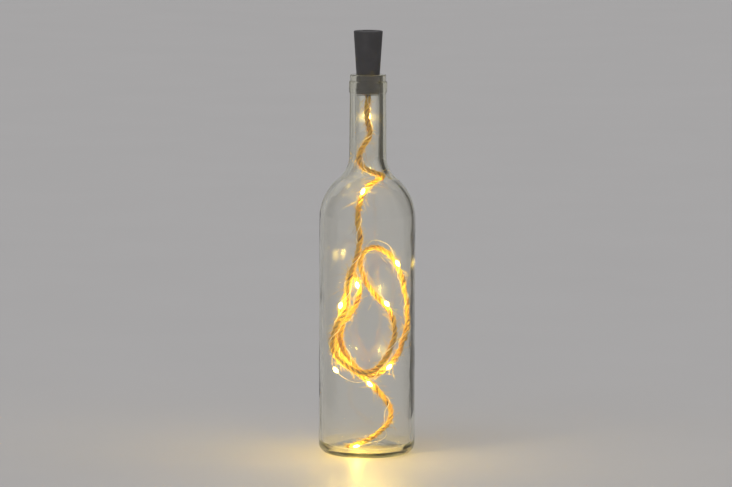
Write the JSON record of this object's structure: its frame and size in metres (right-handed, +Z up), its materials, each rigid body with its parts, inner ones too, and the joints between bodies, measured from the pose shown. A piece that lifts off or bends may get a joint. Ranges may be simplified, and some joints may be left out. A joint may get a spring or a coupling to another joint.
{
  "type": "cork bottle light",
  "caption": "Clear wine bottle lamp with a hollow plastic cork that holds the batteries and a jute rope wound with warm lights.",
  "frame": {"origin": "middle of the bottle's base, on the table", "axes": "+Z up along the bottle, +X to the right as the picture shows it, -Y towards the viewer"},
  "size_m": [0.0754, 0.0754, 0.332],
  "materials": {
    "clear_glass": "clear bottle glass, faintly green where it is thick",
    "cork_plastic": "fine matt",
    "case_plastic": "matt moulded",
    "soft_rubber": "soft matt",
    "cell_steel": "nickel plated, satin",
    "contact_nickel": "nickel plated spring steel",
    "board_green": "solder mask over glass fibre",
    "component_black": "moulded parts with tinned ends",
    "switch_steel": "folded sheet",
    "pin_brass": "tinned brass",
    "knob_plastic": "fine matt",
    "lead_red": "insulated lead",
    "lead_black": "insulated lead",
    "jute": "laid natural jute, hairy",
    "light_wire": "silvered copper pair in clear enamel",
    "clear_resin": "clear resin drop",
    "light_chip": "yellow phosphor, lit"
  },
  "bodies": {
    "bottle": {"glass_bottle": "clear_glass", "neck_rope": "jute", "belly_rope": "jute", "neck_wire": "light_wire", "belly_wire": "light_wire", "light_drop_02": "clear_resin", "light_drop_03": "clear_resin", "light_drop_04": "clear_resin", "light_drop_05": "clear_resin", "light_drop_06": "clear_resin", "light_drop_07": "clear_resin", "light_drop_08": "clear_resin", "light_drop_09": "clear_resin", "light_drop_10": "clear_resin", "light_chip_02": "light_chip", "light_chip_03": "light_chip", "light_chip_04": "light_chip", "light_chip_05": "light_chip", "light_chip_06": "light_chip", "light_chip_07": "light_chip", "light_chip_08": "light_chip", "light_chip_09": "light_chip", "light_chip_10": "light_chip"},
    "battery_core": {"battery_case": "case_plastic", "outlet_bush": "soft_rubber", "battery_cell_1": "cell_steel", "battery_cell_2": "cell_steel", "battery_cell_3": "cell_steel", "contact_spring": "contact_nickel", "contact_negative": "contact_nickel", "contact_positive": "contact_nickel", "circuit_board": "board_green", "board_components": "component_black", "switch_housing": "switch_steel", "switch_pins": "pin_brass", "lead_positive": "lead_red", "lead_negative": "lead_black", "splice_sleeve": "soft_rubber", "cork_rope": "jute", "cork_wire": "light_wire", "light_drop_01": "clear_resin", "light_chip_01": "light_chip"},
    "cork_shell": {"cork_shell": "cork_plastic"},
    "switch_knob": {"switch_knob": "knob_plastic"}
  },
  "joints": [
    {"name": "stopper_lift", "type": "slide", "parent": "bottle", "child": "battery_core", "axis": [0, 0, 1], "range_m": [0, 0.018], "deforming": ["neck_rope", "neck_wire"]},
    {"name": "shell_pull", "type": "slide", "parent": "battery_core", "child": "cork_shell", "axis": [0, 0, 1], "range_m": [0, 0.048]},
    {"name": "switch_slide", "type": "slide", "parent": "battery_core", "child": "switch_knob", "axis": [1, 0, 0], "range_m": [0, 0.002]}
  ]
}
